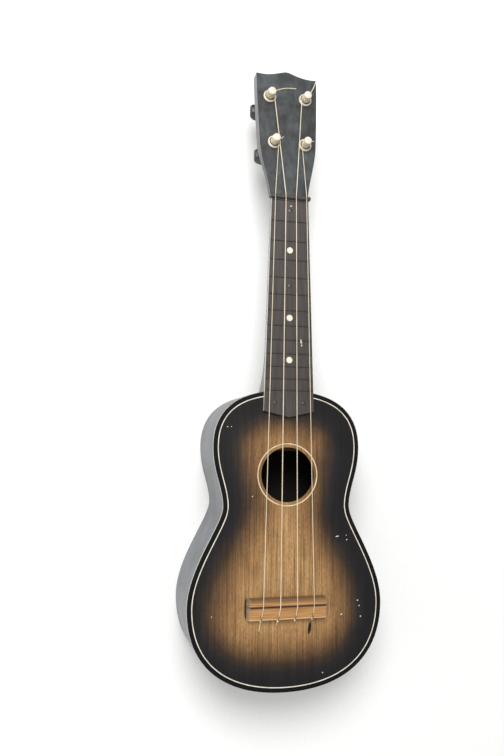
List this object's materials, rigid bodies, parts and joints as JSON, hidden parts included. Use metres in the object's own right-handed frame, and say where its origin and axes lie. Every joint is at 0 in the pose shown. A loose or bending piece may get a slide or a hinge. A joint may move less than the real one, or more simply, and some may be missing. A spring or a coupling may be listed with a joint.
{
  "type": "soprano ukulele",
  "caption": "Small plucked instrument with a hollow figure-eight body, round soundhole, glued bridge, fretted neck and friction tuning pegs that turn in the headstock",
  "frame": {"origin": "under the middle of the instrument's length and width, on the outside of the back", "axes": "+X to the viewer's right seen from the front, +Y from the tail to the head, +Z out of the soundboard"},
  "size_m": [0.166, 0.5348, 0.0714],
  "materials": {
    "sunburst_lacquer": "satin lacquer over light wood, golden brown in the middle and burst to near black at the edge",
    "black_lacquer": "gloss black lacquer over wood",
    "bare_wood": "unfinished light wood, inside the body",
    "brown_plastic": "worn dark brown moulded plastic",
    "cream_plastic": "aged cream plastic",
    "black_plastic": "glossy black plastic",
    "nylon": "smooth cream nylon",
    "steel": "dulled plain steel",
    "bridge_wood": "light tan wood with a thin worn finish"
  },
  "bodies": {
    "instrument": {"back_lining_left": "bare_wood", "back_lining_right": "bare_wood", "back_plate": "black_lacquer", "bridge": "bridge_wood", "bridge_patch": "bare_wood", "fingerboard": "brown_plastic", "fingerboard_nail_1": "steel", "fingerboard_nail_2": "steel", "fingerboard_nail_3": "steel", "fingerboard_nail_4": "steel", "fret_dot_10": "cream_plastic", "fret_dot_3": "cream_plastic", "fret_dot_7": "cream_plastic", "lower_back_brace": "bare_wood", "lower_top_brace": "bare_wood", "neck": "black_lacquer", "neck_block": "bare_wood", "neck_dowel": "bare_wood", "peg_lower_left_collar": "cream_plastic", "peg_lower_left_washer": "steel", "peg_lower_right_collar": "cream_plastic", "peg_lower_right_washer": "steel", "peg_upper_left_collar": "cream_plastic", "peg_upper_left_washer": "steel", "peg_upper_right_collar": "cream_plastic", "peg_upper_right_washer": "steel", "purfling_line": "cream_plastic", "rib_left": "black_lacquer", "rib_right": "black_lacquer", "soundboard": "sunburst_lacquer", "soundhole_ring": "cream_plastic", "string_a": "nylon", "string_c": "nylon", "string_e": "nylon", "string_g": "nylon", "tail_block": "bare_wood", "top_lining_left": "bare_wood", "top_lining_right": "bare_wood", "upper_back_brace": "bare_wood", "upper_top_brace": "bare_wood"},
    "peg_lower_left": {"peg_lower_left_shaft": "cream_plastic", "peg_lower_left_button": "black_plastic", "peg_lower_left_screw": "steel", "peg_lower_left_winding": "nylon"},
    "peg_upper_left": {"peg_upper_left_shaft": "cream_plastic", "peg_upper_left_button": "black_plastic", "peg_upper_left_screw": "steel", "peg_upper_left_winding": "nylon"},
    "peg_upper_right": {"peg_upper_right_shaft": "cream_plastic", "peg_upper_right_button": "black_plastic", "peg_upper_right_screw": "steel", "peg_upper_right_winding": "nylon"},
    "peg_lower_right": {"peg_lower_right_shaft": "cream_plastic", "peg_lower_right_button": "black_plastic", "peg_lower_right_screw": "steel", "peg_lower_right_winding": "nylon"}
  },
  "joints": [
    {"name": "peg_lower_left_turn", "type": "hinge", "parent": "instrument", "child": "peg_lower_left", "pos_m": [-0.0129, 0.19749, 0.05772], "axis": [0, 0.0872, 0.9962], "continuous": true},
    {"name": "peg_upper_left_turn", "type": "hinge", "parent": "instrument", "child": "peg_upper_left", "pos_m": [-0.0162, 0.24112, 0.0539], "axis": [0, 0.0872, 0.9962], "continuous": true},
    {"name": "peg_upper_right_turn", "type": "hinge", "parent": "instrument", "child": "peg_upper_right", "pos_m": [0.0167, 0.24172, 0.05385], "axis": [0, 0.0872, 0.9962], "continuous": true},
    {"name": "peg_lower_right_turn", "type": "hinge", "parent": "instrument", "child": "peg_lower_right", "pos_m": [0.0155, 0.19779, 0.0577], "axis": [0, 0.0872, 0.9962], "continuous": true}
  ]
}
